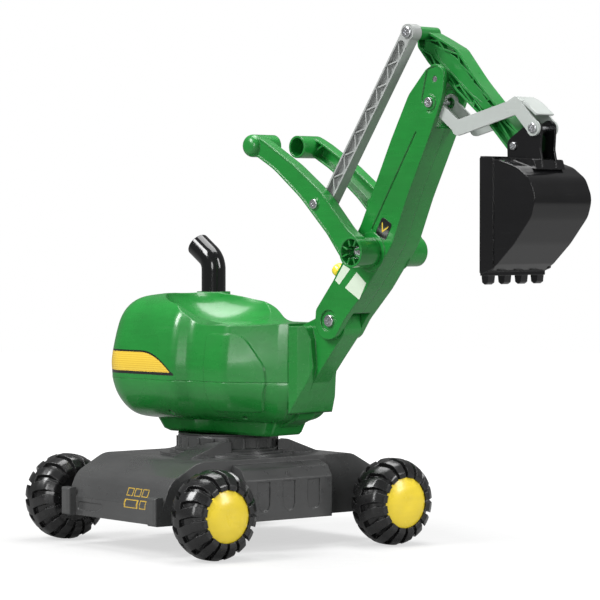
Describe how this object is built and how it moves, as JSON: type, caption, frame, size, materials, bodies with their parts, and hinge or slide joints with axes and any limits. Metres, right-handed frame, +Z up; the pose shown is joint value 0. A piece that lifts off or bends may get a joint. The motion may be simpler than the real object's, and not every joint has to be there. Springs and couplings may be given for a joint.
{
  "type": "ride on digger",
  "caption": "Ride-on toy digger: four-wheeled base, swivelling saddle body with exhaust, two hand levers, jointed boom, stick and bucket on a coupled link.",
  "frame": {"origin": "on the floor, on the swivel axis of the seat body", "axes": "+Z up, +X along the arm away from the rider, +Y to the rider's left; the base is turned 7.15 degrees clockwise under the seat body"},
  "size_m": [0.864, 0.4884, 0.7315],
  "materials": {
    "green": "glossy moulded plastic",
    "green_satin": "satin moulded plastic",
    "graphite": "satin moulded plastic",
    "silver": "satin silver-grey plastic",
    "black": "glossy black plastic",
    "yellow": "glossy yellow plastic",
    "steel": "zinc-plated steel",
    "white": "natural slide plastic"
  },
  "bodies": {
    "base": {"base_shell": "graphite", "neck_ring": "graphite", "axle_right": "steel", "axle_left": "steel", "axle_push_nuts": "steel", "swivel_bolt": "steel", "swivel_washer": "steel", "swivel_nut": "steel", "slide_ring": "black"},
    "wheel_arm_right": {"wheel_arm_right": "black", "hubcap_arm_right": "yellow"},
    "wheel_arm_left": {"wheel_arm_left": "black", "hubcap_arm_left": "yellow"},
    "wheel_rear_right": {"wheel_rear_right": "black", "hubcap_rear_right": "yellow"},
    "wheel_rear_left": {"wheel_rear_left": "black", "hubcap_rear_left": "yellow"},
    "seat_body": {"body_lower": "green", "body_upper": "green", "body_screws": "steel", "exhaust": "black"},
    "boom": {"boom_right": "green", "boom_left": "green", "boom_screws": "steel", "boom_foot_bolt": "steel", "boom_foot_nut": "steel", "lever_left": "green", "lever_bolt": "steel", "lever_nut": "steel", "stick_bolt": "steel", "link_bolt": "steel", "link_nut": "steel"},
    "lock_knob": {"lock_knob": "yellow"},
    "lever_right": {"lever_right": "green", "rod_low_screw": "steel", "rod_low_washer": "steel"},
    "link_rod": {"link_rod": "silver"},
    "stick": {"stick": "green_satin", "rod_high_screw": "steel", "rod_high_nut": "steel"},
    "bucket": {"bucket": "black", "bucket_bolt": "steel", "bucket_nut": "steel"},
    "bucket_link": {"bucket_link": "silver", "bucket_link_bolt": "steel", "bucket_link_nut": "steel"}
  },
  "joints": [
    {"name": "wheel_spin_arm_right", "type": "hinge", "parent": "base", "child": "wheel_arm_right", "pos_m": [0.15968, -0.18128, 0.0626], "axis": [0.9922, -0.1245, 0], "continuous": true},
    {"name": "wheel_spin_arm_left", "type": "hinge", "parent": "base", "child": "wheel_arm_left", "pos_m": [0.19951, 0.13623, 0.0626], "axis": [0.9922, -0.1245, 0], "continuous": true},
    {"name": "wheel_spin_rear_right", "type": "hinge", "parent": "base", "child": "wheel_rear_right", "pos_m": [-0.19951, -0.13623, 0.0626], "axis": [0.9922, -0.1245, 0], "continuous": true},
    {"name": "wheel_spin_rear_left", "type": "hinge", "parent": "base", "child": "wheel_rear_left", "pos_m": [-0.15968, 0.18128, 0.0626], "axis": [0.9922, -0.1245, 0], "continuous": true},
    {"name": "swivel", "type": "hinge", "parent": "base", "child": "seat_body", "pos_m": [0, 0, 0.16], "axis": [0, 0, 1], "continuous": true},
    {"name": "boom_lift", "type": "hinge", "parent": "seat_body", "child": "boom", "pos_m": [0.229, 0, 0.3275], "axis": [0, 1, 0], "range_deg": [-6, 45]},
    {"name": "knob_turn", "type": "hinge", "parent": "boom", "child": "lock_knob", "pos_m": [0.2405, 0, 0.386], "axis": [-0.8192, 0, 0.5736], "range_deg": [-180, 180]},
    {"name": "stick_swing", "type": "hinge", "parent": "boom", "child": "stick", "pos_m": [0.425, 0, 0.657], "axis": [0, -1, 0], "range_deg": [-12, 30]},
    {"name": "lever_pull", "type": "hinge", "parent": "boom", "child": "lever_right", "pos_m": [0.309, 0, 0.424], "axis": [0, -1, 0], "range_deg": [-8.5, 21]},
    {"name": "rod_swing", "type": "hinge", "parent": "stick", "child": "link_rod", "pos_m": [0.394, 0, 0.72], "axis": [0, -1, 0], "range_deg": [-28.5, 11.5]},
    {"name": "bucket_curl", "type": "hinge", "parent": "stick", "child": "bucket", "pos_m": [0.555, 0, 0.565], "axis": [0, -1, 0], "range_deg": [-10.5, 25.5]},
    {"name": "link_swing", "type": "hinge", "parent": "bucket", "child": "bucket_link", "pos_m": [0.591, 0, 0.588], "axis": [0, -1, 0], "range_deg": [-23, 9.5]}
  ],
  "couplings": [
    {"joint": "lever_pull", "follows": "stick_swing", "ratio": 0.682},
    {"joint": "rod_swing", "follows": "stick_swing", "ratio": -0.9249},
    {"joint": "bucket_curl", "follows": "stick_swing", "ratio": 0.8386},
    {"joint": "link_swing", "follows": "stick_swing", "ratio": -0.7534}
  ]
}
